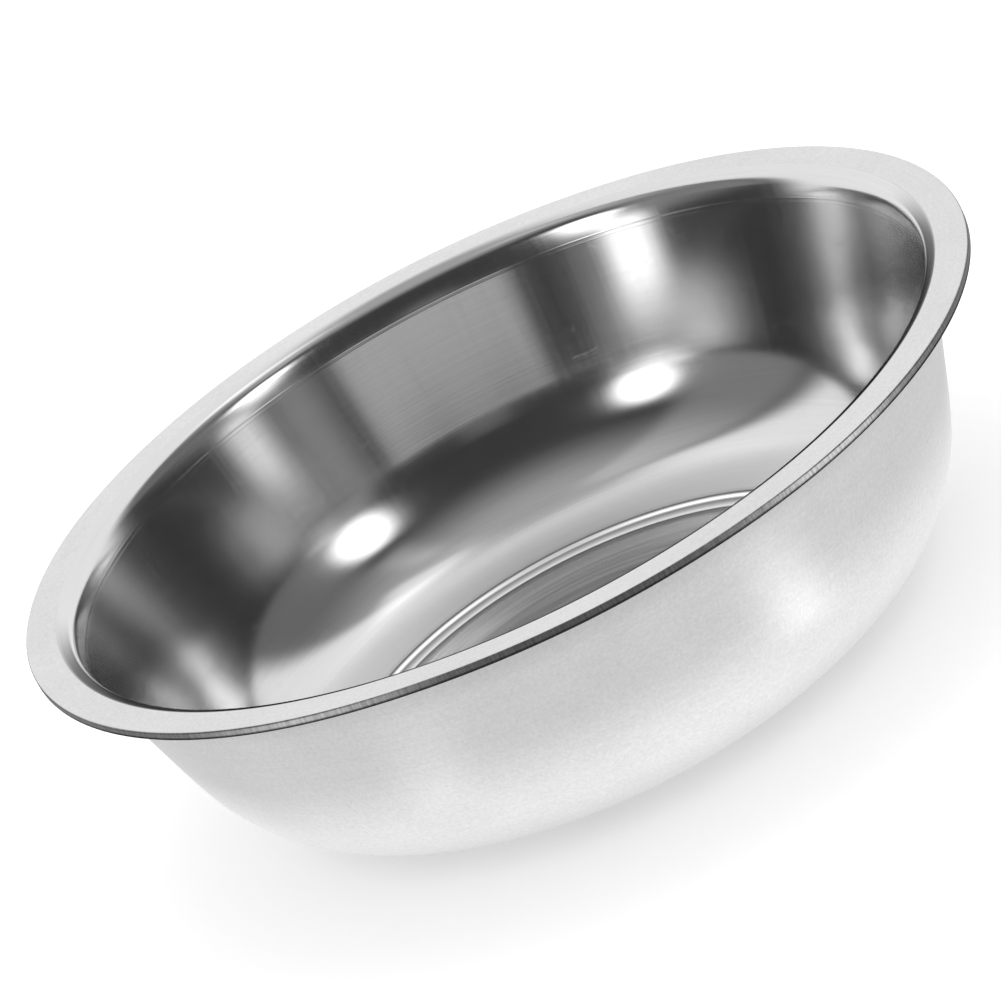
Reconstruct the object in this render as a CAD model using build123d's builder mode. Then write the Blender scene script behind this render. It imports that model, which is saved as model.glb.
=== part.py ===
from build123d import *
import math
import os

# Foot bath basin, pressed from one round blank of stainless steel sheet.
# Millimetres, +Z up.  The origin is the centre of the underside of the base,
# so the basin stands on Z = 0.
#
# The sheet has two sides.  The show side is the one that is seen from above:
# the floor, the inside of the wall, the top of the rim and the outside of the
# rim's folded edge.  The hidden side runs parallel to it, one sheet away.
# Section points are (distance from the axis, height).

# ---- driving dimensions ---------------------------------------------------
sheet_t = 0.7            # sheet thickness, the same everywhere
rim_r = 170.0            # outer radius of the rim
height = 97.0            # underside of the base to the top of the rim

neck_r = 153.9           # show side of the neck, carried up to the rim's plane
neck_blend = 5.5         # show-side radius between the flat rim and the neck
crease_drop = 10.5       # the neck ends in a soft crease this far below the rim
crease_blend = 6.0       # show-side radius that softens the crease
wall_draft = math.radians(16.4)  # the wall leans in this much below the crease

# the wall turns into the floor through two tangent radii, slow and then quick
slow_r = 62.9            # show-side radius under the straight wall
quick_r = 49.6           # show-side radius running into the floor
turn_angle = math.radians(33.1)  # lean where the slow radius meets the quick one
quick_centre_r = 91.05   # centre of the quick radius, from the axis
quick_centre_drop = 44.57  # centre of the quick radius, below the top of the rim

foot_outer_r = 97.4      # where the floor steps down to the foot
foot_inner_r = 92.4      # where the step reaches the flat disc
step_blend = 1.8         # show-side radius at the top and bottom of the step

lip_h = 3.1              # height of the turned-down edge of the rim
lip_top_blend = 0.9      # show-side radius along the top of the edge
lip_bottom_blend = 0.9   # show-side radius along the bottom of the edge
lip_return = 2.9         # how far inwards the edge is folded back under the rim


def circle_point(centre, radius, angle):
    """The point at an angle, in radians, on a circle in the section."""
    return (
        centre[0] + radius * math.cos(angle),
        centre[1] + radius * math.sin(angle),
    )


def angle_from(centre, point):
    """The angle, in radians, at which a point is seen from a centre."""
    return math.atan2(point[1] - centre[1], point[0] - centre[0])


def direction(start, end):
    """The unit vector from one section point to another."""
    return (Vector(*end) - Vector(*start)).normalized()


def corner_behind(before, corner, after):
    """The corner of the parallel line, one sheet to the right of the path."""
    arriving = direction(before, corner)
    leaving = direction(corner, after)
    scale = sheet_t / (1 + arriving.dot(leaving))
    return (
        corner[0] + (arriving.Y + leaving.Y) * scale,
        corner[1] - (arriving.X + leaving.X) * scale,
    )


# ---- turning radii, whose centres serve both sides of the sheet ------------
quick_centre = (quick_centre_r, height - quick_centre_drop)
# the slow centre lies beyond the quick one, in line with the point they share
slow_centre = circle_point(quick_centre, quick_r - slow_r, -turn_angle)
hidden_quick_r = quick_r + sheet_t
hidden_slow_r = slow_r + sheet_t
slow_mid_angle = -0.5 * (wall_draft + turn_angle)

# ---- show side, from the axis outwards and up ------------------------------
floor_z = quick_centre[1] - math.sqrt(
    quick_r**2 - (foot_outer_r - quick_centre_r) ** 2
)
crease_z = height - crease_drop
lip_z = height - lip_h

show_axis = (0, sheet_t)
show_foot_in = (foot_inner_r, sheet_t)
show_foot_out = (foot_outer_r, floor_z)
show_turn = circle_point(quick_centre, quick_r, -turn_angle)
show_wall_low = circle_point(slow_centre, slow_r, -wall_draft)
wall_rise = crease_z - show_wall_low[1]
show_crease = (show_wall_low[0] + wall_rise * math.tan(wall_draft), crease_z)
show_neck = (neck_r, height)
show_rim = (rim_r, height)
show_lip = (rim_r, lip_z)
show_end = (rim_r - lip_return, lip_z)

# ---- hidden side, in the same order ----------------------------------------
hidden_axis = (0, 0)
hidden_foot_in = corner_behind(show_axis, show_foot_in, show_foot_out)
# the back of the step climbs until it meets the hidden quick radius
step = direction(show_foot_in, show_foot_out)
offset = Vector(*hidden_foot_in) - Vector(*quick_centre)
along = offset.dot(step)
reach = -along - math.sqrt(along**2 - offset.dot(offset) + hidden_quick_r**2)
hidden_foot_out = (
    hidden_foot_in[0] + step.X * reach,
    hidden_foot_in[1] + step.Y * reach,
)
hidden_turn = circle_point(quick_centre, hidden_quick_r, -turn_angle)
hidden_wall_low = circle_point(slow_centre, hidden_slow_r, -wall_draft)
hidden_crease = corner_behind(show_wall_low, show_crease, show_neck)
hidden_neck = corner_behind(show_crease, show_neck, show_rim)
hidden_rim = (rim_r - sheet_t, height - sheet_t)
hidden_lip = (rim_r - sheet_t, lip_z + sheet_t)
hidden_end = (rim_r - lip_return, lip_z + sheet_t)

show_quick_mid = 0.5 * (angle_from(quick_centre, show_foot_out) - turn_angle)
hidden_quick_mid = 0.5 * (angle_from(quick_centre, hidden_foot_out) - turn_angle)

# Show corner, hidden corner, show-side radius, change in radius behind: a
# corner that is hollow on the show side is one sheet larger behind, and the
# reverse.
corner_blends = [
    (show_foot_in, hidden_foot_in, step_blend, sheet_t),
    (show_foot_out, hidden_foot_out, step_blend, -sheet_t),
    (show_crease, hidden_crease, crease_blend, sheet_t),
    (show_neck, hidden_neck, neck_blend, -sheet_t),
    (show_rim, hidden_rim, lip_top_blend, -sheet_t),
    (show_lip, hidden_lip, lip_bottom_blend, -sheet_t),
]

# ---- basin: the sheet's section, turned about the axis ---------------------
with BuildPart() as basin:
    with BuildSketch(Plane.XZ):
        with BuildLine() as outline:
            # out along the show side and round the folded end
            Polyline(show_axis, show_foot_in, show_foot_out)
            ThreePointArc(
                show_foot_out,
                circle_point(quick_centre, quick_r, show_quick_mid),
                show_turn,
            )
            ThreePointArc(
                show_turn,
                circle_point(slow_centre, slow_r, slow_mid_angle),
                show_wall_low,
            )
            Polyline(
                show_wall_low, show_crease, show_neck, show_rim,
                show_lip, show_end, hidden_end,
            )
            # back along the hidden side to the axis
            Polyline(
                hidden_end, hidden_lip, hidden_rim,
                hidden_neck, hidden_crease, hidden_wall_low,
            )
            ThreePointArc(
                hidden_wall_low,
                circle_point(slow_centre, hidden_slow_r, slow_mid_angle),
                hidden_turn,
            )
            ThreePointArc(
                hidden_turn,
                circle_point(quick_centre, hidden_quick_r, hidden_quick_mid),
                hidden_foot_out,
            )
            Polyline(hidden_foot_out, hidden_foot_in, hidden_axis, show_axis)
            for show, hidden, blend, change in corner_blends:
                for corner, radius in ((show, blend), (hidden, blend + change)):
                    nearest = outline.vertices().sort_by_distance((*corner, 0))[0]
                    fillet(nearest, radius)
        make_face()
    revolve(axis=Axis.Z)
basin.part.label = "basin"

os.makedirs("parts", exist_ok=True)
export_step(basin.part, "parts/basin.step")
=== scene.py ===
"""A pressed steel foot bath basin with a worked metal surface, on a pale floor in studio light.

The basin stands on z = 0 about the Z axis. Its front, and the camera, are towards -Y, and +X is
on the camera's right. Section sizes are in millimetres; the scene is in metres.
"""

import math

import bmesh
import bpy
import numpy as np
from mathutils import Matrix, Vector


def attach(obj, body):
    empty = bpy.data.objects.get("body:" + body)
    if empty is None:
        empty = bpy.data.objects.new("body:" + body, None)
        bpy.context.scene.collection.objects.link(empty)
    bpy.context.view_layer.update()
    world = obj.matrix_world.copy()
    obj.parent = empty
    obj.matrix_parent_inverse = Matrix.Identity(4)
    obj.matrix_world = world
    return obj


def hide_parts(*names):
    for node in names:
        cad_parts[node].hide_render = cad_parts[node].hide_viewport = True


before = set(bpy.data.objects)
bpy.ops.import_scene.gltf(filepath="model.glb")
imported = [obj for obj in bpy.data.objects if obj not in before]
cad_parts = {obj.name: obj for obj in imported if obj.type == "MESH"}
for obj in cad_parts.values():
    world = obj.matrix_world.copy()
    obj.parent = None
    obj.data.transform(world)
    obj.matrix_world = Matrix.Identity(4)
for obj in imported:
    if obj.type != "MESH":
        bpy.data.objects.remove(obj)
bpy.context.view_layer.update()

MM = 0.001

# ---- the section: its show side is the inside of the basin and the top of the rim ----
SHEET = 0.7
HEIGHT = 97.0
RIM_R = 170.0
NECK_R = 153.9  # where the straight runs of neck and flat rim would meet
SHOULDER_BLEND = 5.5
CREASE_DROP = 10.5  # from the rim down to the crease in the wall
DRAFT = math.radians(16.4)  # the wall's lean from upright
# an easy arc between the corner and the wall: its lean at the two ends, and its radius
EASE_FROM = math.radians(19.5)
EASE_TO = math.radians(17.0)
EASE_R = 150.0
# the corner: a quick arc, then a slow one from TURN_AT below level
QUICK_R = 49.6
SLOW_R = 62.9
TURN_AT = math.radians(33.1)
QUICK_CENTRE_R = 91.05
QUICK_CENTRE_DROP = 44.57
# the step round the floor disc
FOOT_IN = 92.4
FOOT_OUT = 97.4
STEP_BLEND = 1.8
# the folded edge
LIP_H = 3.1
LIP_TOP_BLEND = 0.6
LIP_BOTTOM_BLEND = 0.7
LIP_RETURN = 2.9
# lean of the surface normal above level, in degrees, just over the crease
CREASE_LEAN = 17.0
NECK_LEAN = 17.2
# (lean of the pressed shape, lean of the polished surface) in degrees, from neck to flat rim
POLISH = (
    (2.9, 21.5), (15, 27), (24, 33), (33.5, 43), (39, 49.5),
    (48, 55.5), (57, 60), (77, 64.5), (84, 74), (90, 90),
)
# fine circular lines left by the forming tool: (mark, offset along the section, half width, height)
TOOL_LINES = (
    ("crease", -0.1, 0.35, 0.018),
    ("crease", -1.5, 0.30, 0.009),
    ("shoulder", 0.1, 0.30, -0.006),
)
# painted highlights and painted dark reflections along the step's bends; the bright lines are also
# polished: (radius, half width, strength)
POLISH_AND_PAINTED_HIGHLIGHT_LINES = ((96.1, 0.45, 1.0), (93.1, 0.32, 0.8))
PAINTED_DARK_REFLECTION_LINES = ((97.2, 0.45, 0.75), (94.7, 0.85, 0.6), (91.95, 0.45, 0.7))

# ---- round the basin ----
SEGMENTS = 260
# (azimuth in degrees from the front, how far the rim's edge stands above its flat position)
LIFT = (
    (-180, 0.1), (-150, -0.15), (-100, 0.0), (-62, 0.35), (-42, 0.85), (-23, 1.1),
    (-9, 0.9), (0, 0.55), (9, 0.2), (14, 0.0), (23, -0.5), (35, -0.85),
    (50, -0.9), (75, -0.8), (100, -0.3), (135, 0.05), (180, 0.1),
)
LIFT_SMOOTH = 6.0  # spread of the smoothing, in segments
LIFT_REACH = 16  # segments it takes in on each side
# (waves per turn, height, phase)
LIFT_WAVES = ((7, 0.05, 1.0), (11, 0.03, 2.0))
ROUND_WAVES = ((2, 0.18, 1.9), (3, 0.10, 0.4))
WARP_FROM_Z = 45.0  # the rim's waves die out down to this height
FLAT_WARP = 0.35  # share of the lift that is left at the neck


# ---- runs of the section: lists of (point, show-side normal), the start left out ----
def unit(vector):
    return vector / np.linalg.norm(vector)


def polar(angle):
    return np.array([math.cos(angle), math.sin(angle)])


def angle_of(vector):
    return math.atan2(vector[1], vector[0])


def tilted(degrees):
    """A normal that faces the axis and leans upwards from level."""
    lean = math.radians(degrees)
    return np.array([-math.cos(lean), math.sin(lean)])


def line(start, end, steps):
    start, end = np.array(start, float), np.array(end, float)
    along = unit(end - start)
    normal = np.array([-along[1], along[0]])
    return [(start + (end - start) * (i / steps), normal) for i in range(1, steps + 1)]


def arc(centre, radius, start, end, steps, outward=False):
    """An arc between two angles; outward: the show side faces away from the centre."""
    samples = []
    for i in range(1, steps + 1):
        spoke = polar(start + (end - start) * i / steps)
        samples.append((np.array(centre) + radius * spoke, spoke if outward else -spoke))
    return samples


def bowed(start, end, steps, bow):
    """As line, with the middle pushed out from the basin's inside by bow."""
    length = np.linalg.norm(end - start)
    samples = []
    for i, (point, normal) in enumerate(line(start, end, steps), 1):
        t = i / steps
        lean = 4 * bow * (1 - 2 * t) / length
        along = np.array([normal[1], -normal[0]])
        samples.append((point - normal * 4 * bow * t * (1 - t), unit(normal + along * lean)))
    return samples


def corner(before, bend, after, radius, steps):
    """A rounded corner between two straight runs: (start point, arc samples)."""
    before, bend, after = (np.array(point, float) for point in (before, bend, after))
    arrive, leave = unit(bend - before), unit(after - bend)
    turn = math.acos(max(-1.0, min(1.0, float(arrive @ leave))))
    side = 1.0 if arrive[0] * leave[1] - arrive[1] * leave[0] > 0 else -1.0
    start = bend - arrive * radius * math.tan(turn / 2)
    centre = start + np.array([-arrive[1], arrive[0]]) * radius * side
    angle = angle_of(start - centre)
    return start, arc(centre, radius, angle, angle + side * turn, steps, outward=side < 0)


def foot(quick):
    """The floor disc and the step round it, from the axis to the arc about quick."""
    quick_fall = math.sqrt(QUICK_R**2 - (FOOT_OUT - QUICK_CENTRE_R) ** 2)
    axis = np.array([0.0, SHEET])
    foot_in = np.array([FOOT_IN, SHEET])
    foot_out = np.array([FOOT_OUT, quick[1] - quick_fall])
    start, bend = corner(axis, foot_in, foot_out, STEP_BLEND, steps=6)
    samples = [(axis, np.array([0.0, 1.0]))] + line(axis, start, steps=20) + bend
    # the top of the step: a small arc that touches the step's slope and the quick arc
    slope = unit(foot_out - foot_in)
    behind = np.array([slope[1], -slope[0]])
    base = foot_in + behind * STEP_BLEND
    offset = base - quick
    along = offset @ slope
    reach = -along - math.sqrt(along**2 - offset @ offset + (QUICK_R + STEP_BLEND) ** 2)
    centre = base + slope * reach
    slope_end = centre - behind * STEP_BLEND
    samples += line(samples[-1][0], slope_end, steps=4)
    first, last = angle_of(slope_end - centre), angle_of(quick - centre)
    return samples + arc(centre, STEP_BLEND, first, last, steps=5, outward=True)


def add_wall(samples, quick):
    """The corner and the wall, up to the crease."""
    slow = quick - (SLOW_R - QUICK_R) * polar(-TURN_AT)
    wall_low = slow + SLOW_R * polar(-DRAFT)
    crease_z = HEIGHT - CREASE_DROP
    crease_r = wall_low[0] + (crease_z - wall_low[1]) * math.tan(DRAFT)
    crease = np.array([crease_r, crease_z])
    first = angle_of(samples[-1][0] - quick)
    samples += arc(quick, QUICK_R, first, -TURN_AT, steps=24)
    samples += arc(slow, SLOW_R, -TURN_AT, -EASE_FROM, steps=12)
    point, normal = samples[-1]
    samples += arc(point + EASE_R * normal, EASE_R, -EASE_FROM, -EASE_TO, steps=6)
    # the wall is not quite straight: it leans a little less on the way up
    start = samples[-1][0]
    chord = crease - start
    lean = EASE_TO - math.atan2(chord[0], chord[1])
    samples += bowed(start, crease, steps=18, bow=lean * np.linalg.norm(chord) / 4)
    samples[-1] = (crease, tilted(CREASE_LEAN))


def profile():
    """The show side from the axis to the end of the folded edge, and the marked indices."""
    quick = np.array([QUICK_CENTRE_R, HEIGHT - QUICK_CENTRE_DROP])
    samples = foot(quick)
    add_wall(samples, quick)
    crease = samples[-1][0]
    marks = {"crease": len(samples) - 1}

    neck, rim = (NECK_R, HEIGHT), (RIM_R, HEIGHT)
    lip, end = (RIM_R, HEIGHT - LIP_H), (RIM_R - LIP_RETURN, HEIGHT - LIP_H)
    # polishing has run the neck and the shoulder into one soft curve
    start, bend = corner(crease, neck, rim, SHOULDER_BLEND, steps=30)
    pressed, polished = zip(*POLISH)
    neck_steps = 10
    for i, (point, _) in enumerate(line(crease, start, neck_steps), 1):
        lean = NECK_LEAN + (polished[0] - NECK_LEAN) * i / neck_steps
        samples.append((point, tilted(lean)))
    for point, normal in bend:
        lean = math.degrees(math.atan2(normal[1], -normal[0]))
        samples.append((point, tilted(np.interp(lean, pressed, polished))))
    marks["shoulder"] = len(samples) - 1

    start, bend = corner(neck, rim, lip, LIP_TOP_BLEND, steps=8)
    samples += line(samples[-1][0], start, steps=8)
    marks["edge"] = len(samples)
    samples += bend
    start, bend = corner(rim, lip, end, LIP_BOTTOM_BLEND, steps=8)
    samples += line(samples[-1][0], start, steps=3) + bend
    samples += line(samples[-1][0], end, steps=3)
    return samples, marks


def add_tool_lines(points, normals, run, marks):
    """Adds stations at the tool lines and raises them; marks are distances along the section."""
    lines = [(marks[mark] + offset, half, height) for mark, offset, half, height in TOOL_LINES]
    extra = [at + half * k for at, half, _ in lines for k in (-1.0, -0.6, -0.3, 0.0, 0.3, 0.6, 1.0)]
    stations = np.unique(np.round(np.concatenate([run, extra]), 5))
    stations = stations[np.concatenate([[True], np.diff(stations) > 0.02])]
    points = np.stack([np.interp(stations, run, points[:, k]) for k in (0, 1)], 1)
    normals = np.stack([np.interp(stations, run, normals[:, k]) for k in (0, 1)], 1)
    normals /= np.linalg.norm(normals, axis=1, keepdims=True)
    along = np.stack([normals[:, 1], -normals[:, 0]], 1)
    for at, half, height in lines:
        t = np.clip((stations - at) / half, -1, 1)
        rise = height * 0.5 * (1 + np.cos(math.pi * t))
        slope = -height * 0.5 * math.pi / half * np.sin(math.pi * t)
        points = points + normals * rise[:, None]
        normals = normals - along * slope[:, None]
        normals /= np.linalg.norm(normals, axis=1, keepdims=True)
    return points, normals, stations


def section():
    """The whole section, axis to axis round the sheet: points, normals, run, hidden, marks.

    run is the distance along the show side; hidden is 0 on it, 0.5 on the cut end, 1 behind.
    """
    samples, indices = profile()
    points = np.array([point for point, _ in samples])
    normals = np.array([normal for _, normal in samples])
    lengths = np.linalg.norm(np.diff(points, axis=0), axis=1)
    run = np.concatenate([[0], np.cumsum(lengths)])
    marks = {name: run[index] for name, index in indices.items()}
    points, normals, run = add_tool_lines(points, normals, run, marks)
    marks["end"] = run[-1]
    # the hidden side is parallel, one sheet away; the cut end is rounded
    cap_share = np.arange(1, 5) / 5
    cap_angle = math.pi * cap_share
    tip_normal = normals[-1]
    tip_along = np.array([tip_normal[1], -tip_normal[0]])
    cap = np.outer(np.cos(cap_angle), tip_normal) + np.outer(np.sin(cap_angle), tip_along)
    tip = points[-1] - tip_normal * SHEET / 2
    hidden = np.repeat([0.0, 0.5, 1.0], [len(run), len(cap), len(run)])
    points = np.concatenate([points, tip + cap * SHEET / 2, (points - normals * SHEET)[::-1]])
    normals = np.concatenate([normals, cap, -normals[::-1]])
    run = np.concatenate([run, run[-1] + SHEET * cap_share, run[::-1]])
    return points, normals, run, hidden, marks


# ---- the basin's mesh ----
def smooth_step(value, low, high):
    t = np.clip((value - low) / (high - low), 0, 1)
    return t * t * (3 - 2 * t)


def waves(theta, terms):
    return sum(height * np.cos(count * theta + phase) for count, height, phase in terms)


def rim_lift(theta):
    """Pressed rims are never quite flat: a slow lift and fall, smoothed round the closed rim."""
    azimuth = (np.degrees(theta) + 90.0 + 180.0) % 360.0 - 180.0
    lift = np.interp(azimuth, *zip(*LIFT))
    soft = np.exp(-0.5 * (np.arange(-LIFT_REACH, LIFT_REACH + 1) / LIFT_SMOOTH) ** 2)
    closed = np.concatenate([lift[-LIFT_REACH:], lift, lift[:LIFT_REACH]])
    return np.convolve(closed, soft / soft.sum(), "valid") + waves(theta, LIFT_WAVES)


def turned(points, normals):
    """Vertices in mm and their normals, turned from the section's stations off the axis."""
    theta = np.arange(SEGMENTS) * (2 * math.pi / SEGMENTS)
    cos, sin = np.cos(theta), np.sin(theta)
    lift = rim_lift(theta)
    slope = np.gradient(np.tile(lift, 3), theta[1])[SEGMENTS:-SEGMENTS]
    r, z = points[:, :1], points[:, 1:]
    share = smooth_step(z, WARP_FROM_Z, HEIGHT)
    radius = r + waves(theta, ROUND_WAVES) * share
    share = share * (FLAT_WARP + (1 - FLAT_WARP) * smooth_step(r, NECK_R, RIM_R))
    verts = np.stack([radius * cos, radius * sin, z + lift * share], 2)
    normal_r, normal_z = normals[:, :1], normals[:, 1:]
    tilt = -(slope * share) / np.maximum(radius, 1.0) * normal_z
    across = np.broadcast_to(normal_z, radius.shape)
    facing = np.stack([normal_r * cos - tilt * sin, normal_r * sin + tilt * cos, across], 2)
    facing /= np.linalg.norm(facing, axis=2, keepdims=True)
    return verts.reshape(-1, 3), facing.reshape(-1, 3)


def basin_faces(rows):
    """Quads between the rings, and a fan to the axis point at each end."""
    turn = [(j, (j + 1) % SEGMENTS) for j in range(SEGMENTS)]
    faces = []
    for i in range(rows - 1):
        ring = 1 + i * SEGMENTS
        above = ring + SEGMENTS
        faces += [(ring + j, ring + k, above + k, above + j) for j, k in turn]
    end_ring = 1 + (rows - 1) * SEGMENTS
    for j, k in turn:
        faces.append((0, 1 + k, 1 + j))
        faces.append((end_ring + j, end_ring + k, end_ring + SEGMENTS))
    return faces


def bands(r, lines, power):
    return sum(weight * np.exp(-(((r - at) / half) ** power)) for at, half, weight in lines)


def zones(r, run, hidden, marks):
    """The share of each surface zone at each station, by attribute name."""
    shoulder, edge = marks["shoulder"], marks["edge"]
    fold = marks["end"] - LIP_RETURN
    show = 1 - hidden
    on_edge = smooth_step(run, edge + 0.05, edge + 0.35) * show
    flat_rim = smooth_step(run, shoulder - 0.7, shoulder + 0.1) * (1 - on_edge) * show
    disc = (1 - smooth_step(run, FOOT_IN - 1.2, FOOT_IN + 0.3)) * show
    turn = smooth_step(run, shoulder - 5.0, shoulder - 4.0)
    turn = turn * (1 - smooth_step(run, shoulder - 0.5, shoulder)) * show
    return {
        "run": run * MM,
        "zone_edge": on_edge,
        "zone_rim": flat_rim,
        "zone_disc": disc,
        "zone_inside": show * (1 - flat_rim) * (1 - on_edge) * (1 - disc),
        "zone_outside": hidden,
        # painted shade under the folded edge
        "zone_painted_shade_under_lip": smooth_step(run, fold - 0.80, fold - 0.50) * show,
        "zone_base": (1 - smooth_step(run, FOOT_OUT + 8, FOOT_OUT + 26)) * show,
        "zone_turn": turn,
        # painted highlights and painted dark reflections along the step's bends
        "line_polish_and_painted_highlight": bands(r, POLISH_AND_PAINTED_HIGHLIGHT_LINES, power=2) * show,
        "line_painted_dark_reflection": np.clip(bands(r, PAINTED_DARK_REFLECTION_LINES, power=4) * show, 0, 1),
    }


def build_basin():
    points, normals, run, hidden, marks = section()
    verts, facing = turned(points[1:-1], normals[1:-1])
    first, last = ((0.0, 0.0, points[end][1]) for end in (0, -1))
    verts = np.concatenate([[first], verts, [last]]) * MM
    mesh = bpy.data.meshes.new("foot_bath_basin")
    mesh.from_pydata(verts.tolist(), [], basin_faces(rows=len(points) - 2))
    mesh.validate()
    mesh.update()
    # faces point out of the metal
    shell = bmesh.new()
    shell.from_mesh(mesh)
    bmesh.ops.recalc_face_normals(shell, faces=shell.faces)
    shell.to_mesh(mesh)
    shell.free()
    for polygon in mesh.polygons:
        polygon.use_smooth = True
    facing = np.concatenate([[[0, 0, 1.0]], facing, [[0, 0, -1.0]]])
    mesh.normals_split_custom_set_from_vertices(facing.tolist())
    for name, value in zones(points[:, 0], run, hidden, marks).items():
        values = np.concatenate([value[:1], np.repeat(value[1:-1], SEGMENTS), value[-1:]])
        layer = mesh.attributes.new(name, "FLOAT", "POINT")
        layer.data.foreach_set("value", values.astype(np.float32))
    return add_object("basin_shell", mesh)


def add_object(name, data):
    obj = bpy.data.objects.new(name, data)
    bpy.context.scene.collection.objects.link(obj)
    return obj


# ---- shader graphs ----
class Value:
    """A node's output; arithmetic on it adds math nodes."""

    def __init__(self, graph, node, output=0):
        self.graph, self.node, self.output = graph, node, output

    def __add__(self, other):
        return self.graph.math("ADD", self, other)

    def __sub__(self, other):
        return self.graph.math("SUBTRACT", self, other)

    def __rsub__(self, other):
        return self.graph.math("SUBTRACT", other, self)

    def __mul__(self, other):
        return self.graph.math("MULTIPLY", self, other)

    def __truediv__(self, other):
        return self.graph.math("DIVIDE", self, other)

    def __abs__(self):
        return self.graph.math("ABSOLUTE", self)

    def ramp(self, start, end, first=0.0, last=1.0):
        """Goes smoothly from first to last while this value goes from start to end."""
        inputs = enumerate((self, start, end, first, last))
        smooth = "SMOOTHSTEP"
        return self.graph.add("ShaderNodeMapRange", inputs, clamp=True, interpolation_type=smooth)


class Graph:
    """The emptied node tree of a material or world."""

    def __init__(self, owner):
        owner.use_nodes = True
        self.tree = owner.node_tree
        self.tree.nodes.clear()

    def add(self, kind, inputs=(), output=0, **settings):
        node = self.tree.nodes.new(kind)
        for key, value in settings.items():
            setattr(node, key, value)
        for key, value in dict(inputs).items():
            if isinstance(value, Value):
                self.tree.links.new(value.node.outputs[value.output], node.inputs[key])
            else:
                node.inputs[key].default_value = value
        return Value(self, node, output)

    def math(self, operation, *values, clamp=False):
        inputs = enumerate(values)
        return self.add("ShaderNodeMath", inputs, operation=operation, use_clamp=clamp)

    def hypot(self, x, y):
        return self.math("SQRT", x * x + y * y)

    def azimuth(self, x, y):
        """Degrees from the front (-Y), positive towards +X."""
        return self.math("ARCTAN2", x, y * -1.0) * (180 / math.pi)

    def attribute(self, name):
        return self.add("ShaderNodeAttribute", output="Fac", attribute_name=name)

    def combine(self, x, y, z):
        return self.add("ShaderNodeCombineXYZ", enumerate((x, y, z)))

    def split(self, vector):
        node = self.add("ShaderNodeSeparateXYZ", {0: vector}).node
        return [Value(self, node, axis) for axis in range(3)]

    def colour(self, channels):
        return self.add("ShaderNodeCombineColor", enumerate(channels))

    def noise(self, vector, scale=1.0, detail=2.0, rough=0.5, distort=0.0):
        inputs = {
            "Vector": vector,
            "Scale": scale,
            "Detail": detail,
            "Roughness": rough,
            "Distortion": distort,
        }
        return self.add("ShaderNodeTexNoise", inputs, output="Fac")


# duller patches on the wall: (angle from the back in degrees, positive towards +X, half width
# in degrees, low z in mm, high z in mm, extra roughness)
WALL_PATCHES = (
    (-35, 15, 40, 62, 0.05),
    (34, 15, 40, 62, 0.06),
    (-64, 17, 36, 84, 0.035),
    (64, 17, 36, 84, 0.035),
)


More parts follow.
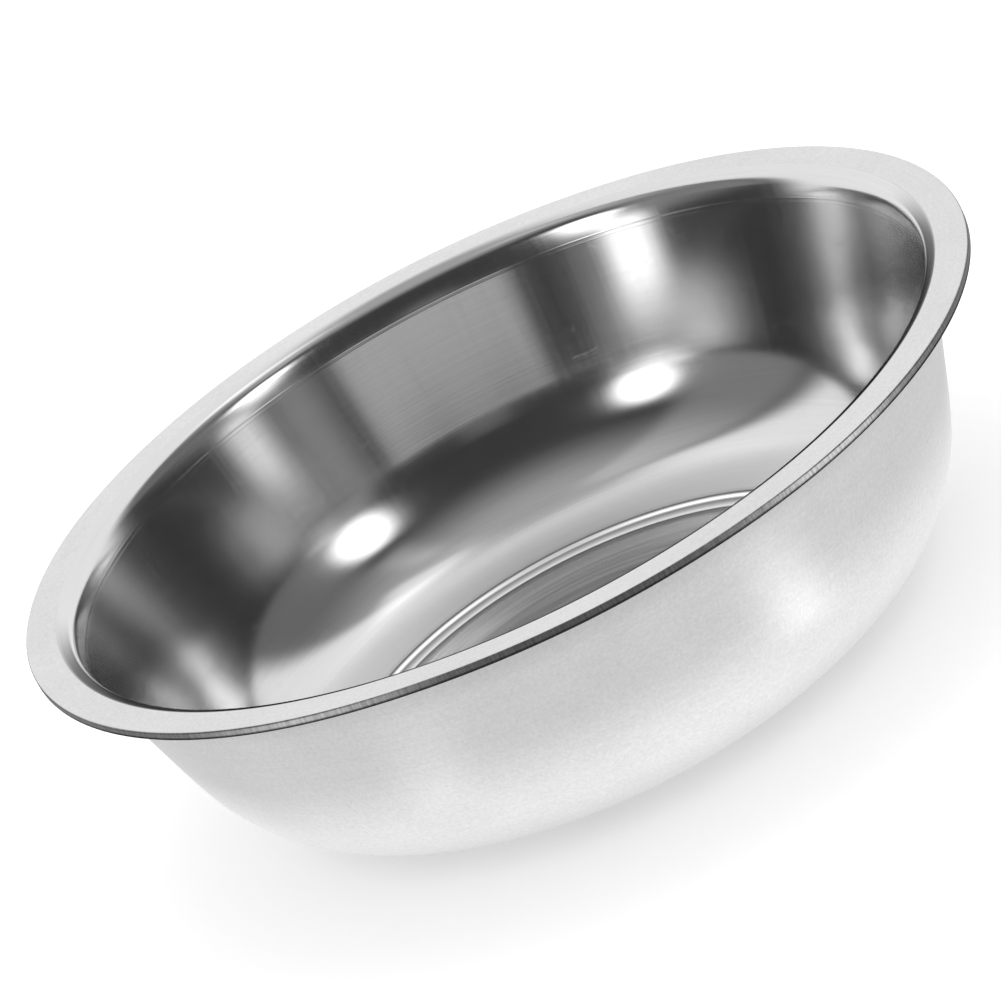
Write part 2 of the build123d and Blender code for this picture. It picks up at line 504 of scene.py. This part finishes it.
class SteelGraph(Graph):
    """Worked steel: satin rim and outside, brighter inside, spun disc."""

    def __init__(self, material):
        super().__init__(material)
        self.where = self.add("ShaderNodeTexCoord", output="Object")
        self.x, self.y, self.z = self.split(self.where)
        radius = self.math("MAXIMUM", self.hypot(self.x, self.y), 1e-4)
        self.cos, self.sin = self.x / radius, self.y / radius
        self.run = self.attribute("run")
        self.edge, self.rim, self.disc, self.inside, self.outside = (
            self.attribute("zone_" + name) for name in ("edge", "rim", "disc", "inside", "outside")
        )
        self.base = self.attribute("zone_base") * (1.0 - self.disc)
        self.bright = self.attribute("line_polish_and_painted_highlight")
        self.satin = self.rim + self.outside
        # noises centred on zero
        self.fine = self.rings(per_turn=5.0, per_mm=5.5, detail=3.0, rough=0.6) - 0.5
        self.broad = self.rings(per_turn=1.6, per_mm=0.9, detail=2.0, rough=0.5) - 0.5
        self.cloud = self.noise(self.where, scale=22.0, detail=3.0, rough=0.55) - 0.5
        self.grain = self.noise(self.where, scale=850.0, detail=3.0, rough=0.7) - 0.5
        hatch = self.rings(per_turn=260.0, per_mm=0.15, detail=3.0, rough=0.6)
        self.hatch = (hatch - 0.5) * self.edge

    def rings(self, per_turn, per_mm, **settings):
        """Noise drawn out round the basin: its rate round a turn, and across the lines."""
        run = self.run * (per_mm * 1000.0)
        return self.noise(self.combine(self.cos * per_turn, self.sin * per_turn, run), **settings)

    def by_zone(self, **values):
        """Sum of value times zone."""
        first, *others = (getattr(self, zone) * value for zone, value in values.items())
        return sum(others, first)

    def wall_patch(self, angle, half, low, high):
        turn = math.radians(angle)
        facing = self.cos * math.sin(turn) + self.sin * math.cos(turn)
        outer, inner = (math.cos(math.radians(degrees)) for degrees in (half, half * 0.35))
        patch = facing.ramp(start=outer, end=inner)
        patch = patch * self.z.ramp(start=(low - 14) * MM, end=(low + 8) * MM)
        fade = self.z.ramp(start=(high - 8) * MM, end=(high + 16) * MM, first=1.0, last=0.0)
        return patch * fade * self.inside

    def roughness(self):
        # roughness that each feature adds
        more = dict(base=0.42, scuff=0.08, worked=0.016, fine=0.05, cloud=0.03)
        bright_polish = 0.85  # share of the roughness that the bright lines lose
        rough = self.by_zone(rim=0.30, edge=0.28, disc=0.21, inside=0.13, outside=0.38)
        rough = rough + self.base * more["base"]
        rough = rough * (1.0 - self.bright * bright_polish)
        # smudges and scuffs that catch some light where the wall is dark
        spread = self.combine(self.x * 60.0, self.y * 60.0, self.z * 90.0)
        scuff = self.noise(spread, detail=7.0, rough=0.68, distort=1.6)
        scuff = scuff.ramp(start=0.58, end=0.80) * self.inside
        rough = rough + scuff * more["scuff"]
        # upright streaks on the wall above the corner
        streaks = self.combine(self.cos * 70.0, self.sin * 70.0, self.z * 16.0)
        worked = self.noise(streaks, detail=4.0, rough=0.6).ramp(start=0.42, end=0.66)
        worked = worked * self.inside * self.z.ramp(start=0.018, end=0.040)
        rough = rough + worked * more["worked"]
        for *place, extra in WALL_PATCHES:
            rough = rough + self.wall_patch(*place) * extra
        rough = rough + self.fine * more["fine"]
        return self.math("ADD", rough, self.cloud * more["cloud"], clamp=True)

    def tone_and_graze(self):
        """The grey level with its painted light and shade, and where the steel is painted dark as
        it turns out of sight.
        """
        # brightness that each feature adds
        more = dict(
            base=0.26, spun=0.75, grain=0.24, cloud=0.12, bright=0.32, fine=0.06, broad=0.05,
            hatch=0.45,
        )
        less = dict(graze=0.30, under=0.85)  # share of the tone taken away by painted shade
        tone = self.by_zone(rim=0.62, edge=0.29, disc=0.67, inside=0.64, outside=0.66)
        spun = self.rings(per_turn=1.3, per_mm=0.42, detail=3.0, rough=0.6, distort=0.3) - 0.5
        tone = tone + self.base * more["base"] + spun * self.disc * more["spun"]
        tone = tone + self.grain * self.satin * more["grain"]
        tone = tone + self.cloud * self.satin * more["cloud"]
        # painted dark reflections along the step's bends
        tone = tone * (1.0 - self.attribute("line_painted_dark_reflection"))
        # painted light and shade on the outside: painted lighter low on the wall, with painted
        # shade at the foot and close under the rim
        pale = self.z.ramp(start=0.028, end=0.062, first=1.27, last=0.93)
        pale = pale * self.z.ramp(start=0.078, end=0.088, first=1.0, last=0.89)
        pale = pale * self.z.ramp(start=0.0, end=0.028, first=0.74, last=1.0)
        tone = tone * self.math("MULTIPLY_ADD", self.outside, pale - 1.0, 1.0)
        # painted highlights along the step's bends
        tone = tone + self.bright * more["bright"]
        tone = tone + self.fine * more["fine"] + self.broad * more["broad"]
        tone = tone + self.hatch * more["hatch"]
        # painted shade: the shoulder is darkened where it turns out of sight
        facing = self.add("ShaderNodeLayerWeight", output="Facing")
        graze = facing.ramp(start=0.56, end=0.70) * self.attribute("zone_turn")
        shade = 1.0 - graze * less["graze"]
        # painted shade under the folded edge
        shade = shade * (1.0 - self.attribute("zone_painted_shade_under_lip") * less["under"])
        graze = self.math("MAXIMUM", graze, self.attribute("zone_painted_shade_under_lip"))
        return self.math("MULTIPLY", tone, shade, clamp=True), graze

    def normal(self):
        relief = dict(broad=0.6, hatch=4.0, grain=3.0)  # height against the brushed lines
        brushed = self.rings(per_turn=4.0, per_mm=2.2, detail=2.0, rough=0.6)
        patchy = self.noise(self.where, scale=14.0, detail=2.0, rough=0.5)
        patchy = patchy.ramp(start=0.35, end=0.65, first=0.15)
        height = brushed * patchy + self.broad * relief["broad"]
        height = height + self.hatch * relief["hatch"]
        height = height + self.grain * self.satin * relief["grain"]
        inputs = {"Strength": 1.0, "Distance": 0.0000035, "Height": height}
        return self.add("ShaderNodeBump", inputs)


def steel():
    material = bpy.data.materials.new("worked_steel")
    graph = SteelGraph(material)
    tone, graze = graph.tone_and_graze()
    inputs = {
        "Roughness": graph.roughness(),
        "Base Color": graph.colour([tone] * 3),
        "Metallic": 1.0,
        # painted shade: the edge tint is dimmed where the shoulder turns out of sight and under the
        # folded edge
        "Specular Tint": graph.colour([1.0 - graze * 0.9 for _ in range(3)]),
        "Anisotropic": graph.by_zone(rim=0.45, edge=0.85, disc=0.8, inside=0.55, outside=0.35),
        "Tangent": graph.add("ShaderNodeTangent", direction_type="RADIAL", axis="Z"),
        "Normal": graph.normal(),
    }
    shader = graph.add("ShaderNodeBsdfPrincipled", inputs)
    graph.add("ShaderNodeOutputMaterial", {"Surface": shader})
    return material


# ---- floor ----
FLOOR_R = 9
FLOOR_SIDES = 64
FLOOR_Z = -0.0002
FLOOR_GLOW = 0.16
# wide pools of light seen in the metal: (azimuth, half width in degrees, level)
FLOOR_POOLS = ((50, 23, 2.8), (-52, 25, 1.9))
# small bright patches beside the foot, seen as soft glints on the satin outside:
# (azimuth in degrees, distance from the axis, radius, level)
FLOOR_GLINTS = ((33, 0.182, 0.030, 1.15), (-36, 0.182, 0.032, 0.4))


def floor_material():
    material = bpy.data.materials.new("floor_pale")
    graph = Graph(material)
    # what the metal sees of the floor: a lit sheet close by, the darker room further off
    x, y, _ = graph.split(graph.add("ShaderNodeTexCoord", output="Object"))
    far = graph.hypot(x, y)
    around = graph.azimuth(x, y)
    lit = far.ramp(start=0.24, end=0.42, first=1.0, last=0.10)
    for azimuth, half, level in FLOOR_POOLS:
        pool = abs(around - azimuth).ramp(start=0.0, end=half, first=1.0, last=0.0)
        lit = lit + pool * far.ramp(start=0.24, end=0.36) * level
    for azimuth, distance, radius, level in FLOOR_GLINTS:
        turn = math.radians(azimuth)
        offset = graph.hypot(x - distance * math.sin(turn), y + distance * math.cos(turn))
        lit = lit + offset.ramp(start=0.0, end=radius, first=level, last=0.0)
    seen = graph.add("ShaderNodeEmission", {"Strength": lit})
    pale = graph.add("ShaderNodeBsdfDiffuse", {"Color": (0.95, 0.95, 0.95, 1)})
    glow = graph.add("ShaderNodeEmission", {"Strength": FLOOR_GLOW})
    plain = graph.add("ShaderNodeAddShader", {0: pale, 1: glow})
    is_glossy = graph.add("ShaderNodeLightPath", output="Is Glossy Ray")
    mix = graph.add("ShaderNodeMixShader", {0: is_glossy, 1: plain, 2: seen})
    graph.add("ShaderNodeOutputMaterial", {"Surface": mix})
    return material


def build_floor():
    angles = np.linspace(0, 2 * math.pi, FLOOR_SIDES + 1)[:-1]
    verts = [(FLOOR_R * math.cos(a), FLOOR_R * math.sin(a), 0.0) for a in angles]
    mesh = bpy.data.meshes.new("floor")
    mesh.from_pydata(verts, [], [tuple(range(FLOOR_SIDES))])
    floor = add_object("floor", mesh)
    floor.location.z = FLOOR_Z
    mesh.materials.append(floor_material())
    return floor


# ---- studio light: angles in degrees, azimuth 0 at the front and positive towards +X ----
# (azimuth, elevation, half width, half height, side softness, top softness, level, and for a
# leaning panel the azimuth it gains for each degree of height)
PANELS = (
    (3, 3.0, 24.5, 9.0, 2.0, 0.6, 0.55),  # low grey card in front
    (0, 14.5, 7, 2.5, 4, 2.5, 0.12),
    (-48, 22, 11, 12, 4, 6, 0.35),
    (-54.5, 9.0, 6.5, 5.5, 3.0, 3.5, 1.9),
    (50, 25, 11, 13, 4, 6, 0.3),
    (57, 9, 5, 5.5, 4, 3.5, 1.1),
    (40, 7, 6, 6, 4, 3, 0.22),
    (-80, 46, 20, 34, 6, 4, 0.22),
    (85, 46, 24, 34, 6, 4, 0.14),
    (106, 70, 18, 8, 4, 3, 0.6),
    (58, 58, 7.0, 10, 4.0, 5.0, 0.30, 0.33),
)
# round lights that fade towards the rim: (azimuth, elevation, half width, half height, level)
SOFTBOXES = (
    (-47, 24.5, 11.0, 11.5, 2.3),
    (49.5, 28.0, 11.5, 13.0, 2.3),
)
ROOM_LEVEL = 0.05  # reflected everywhere
PLAIN_LEVEL = 1.22  # lights all that is not a reflection


class StudioGraph(Graph):
    def __init__(self, world):
        super().__init__(world)
        x, y, z = self.split(self.add("ShaderNodeTexCoord", output="Generated"))
        self.around = self.azimuth(x, y)
        self.elevation = self.math("ARCSINE", z) * (180 / math.pi)

    def turn_from(self, azimuth):
        return self.math("WRAP", self.around - azimuth, 180.0, -180.0)

    def panel(self, azimuth, elevation, half_w, half_h, soft_w, soft_h, level, lean=None):
        """A soft-edged rectangular light."""
        if lean is not None:
            azimuth = self.math("MULTIPLY_ADD", self.elevation - elevation, lean, azimuth)
        across = abs(self.turn_from(azimuth))
        upward = abs(self.elevation - elevation)
        across = across.ramp(start=half_w - soft_w, end=half_w + soft_w, first=1.0, last=0.0)
        upward = upward.ramp(start=half_h - soft_h, end=half_h + soft_h, first=1.0, last=0.0)
        return across * upward * level

    def softbox(self, azimuth, elevation, half_w, half_h, level):
        across = self.turn_from(azimuth) / half_w
        upward = (self.elevation - elevation) / half_h
        return self.hypot(across, upward).ramp(start=0.55, end=1.15, first=level, last=0.0)

    def back_wall(self):
        """The bright wall behind."""
        wall = abs(self.turn_from(180.0)).ramp(start=66, end=80, first=1.1, last=0.0)
        wall = wall * self.elevation.ramp(start=-6, end=-2)
        return wall * self.elevation.ramp(start=66, end=86, first=1.0, last=0.0)


def build_world():
    world = bpy.data.worlds.new("studio")
    bpy.context.scene.world = world
    graph = StudioGraph(world)
    overhead = graph.elevation.ramp(start=36, end=82, last=0.45)
    glossy = graph.math("MAXIMUM", overhead, graph.back_wall()) + ROOM_LEVEL
    for panel in PANELS:
        glossy = graph.panel(*panel) + glossy
    for softbox in SOFTBOXES:
        glossy = graph.softbox(*softbox) + glossy
    is_glossy = graph.add("ShaderNodeLightPath", output="Is Glossy Ray")
    level = is_glossy * glossy + (1.0 - is_glossy) * PLAIN_LEVEL
    inputs = {"Color": (1, 1, 1, 1), "Strength": level}
    background = graph.add("ShaderNodeBackground", inputs)
    graph.add("ShaderNodeOutputWorld", {"Surface": background})
    bpy.context.scene.view_settings.view_transform = "Standard"


# ---- camera ----
CAMERA_ELEVATION = math.radians(22.01)
CAMERA_DISTANCE = 1.785  # from the centre of the rim
CAMERA_ROLL = math.radians(27.3)
SENSOR = 36.0
LENS = 195.341317
# the aim passes right of and below the rim's centre, in the rolled view, per unit of distance
AIM_RIGHT = 0.00242780945
AIM_DOWN = 0.0140334744


def build_camera():
    target = Vector((0, 0, HEIGHT * MM))
    towards_eye = Vector((0, -math.cos(CAMERA_ELEVATION), math.sin(CAMERA_ELEVATION)))
    eye = target + CAMERA_DISTANCE * towards_eye
    ahead = (target - eye).normalized()
    level_right = ahead.cross(Vector((0, 0, 1))).normalized()
    level_up = level_right.cross(ahead)
    right = math.cos(CAMERA_ROLL) * level_right - math.sin(CAMERA_ROLL) * level_up
    up = math.sin(CAMERA_ROLL) * level_right + math.cos(CAMERA_ROLL) * level_up
    aim = (ahead + right * AIM_RIGHT - up * AIM_DOWN).normalized()
    right = (right - aim * right.dot(aim)).normalized()
    up = right.cross(aim)
    data = bpy.data.cameras.new("camera")
    data.sensor_width = SENSOR
    data.lens = LENS
    data.clip_start = 0.05
    data.clip_end = 100
    camera = add_object("camera", data)
    rows = [(right[k], up[k], -aim[k], eye[k]) for k in range(3)]
    camera.matrix_world = Matrix(rows + [(0, 0, 0, 1)])
    bpy.context.scene.camera = camera


basin = build_basin()
basin.data.materials.append(steel())
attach(basin, "root")
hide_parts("basin")
build_floor()
build_world()
build_camera()
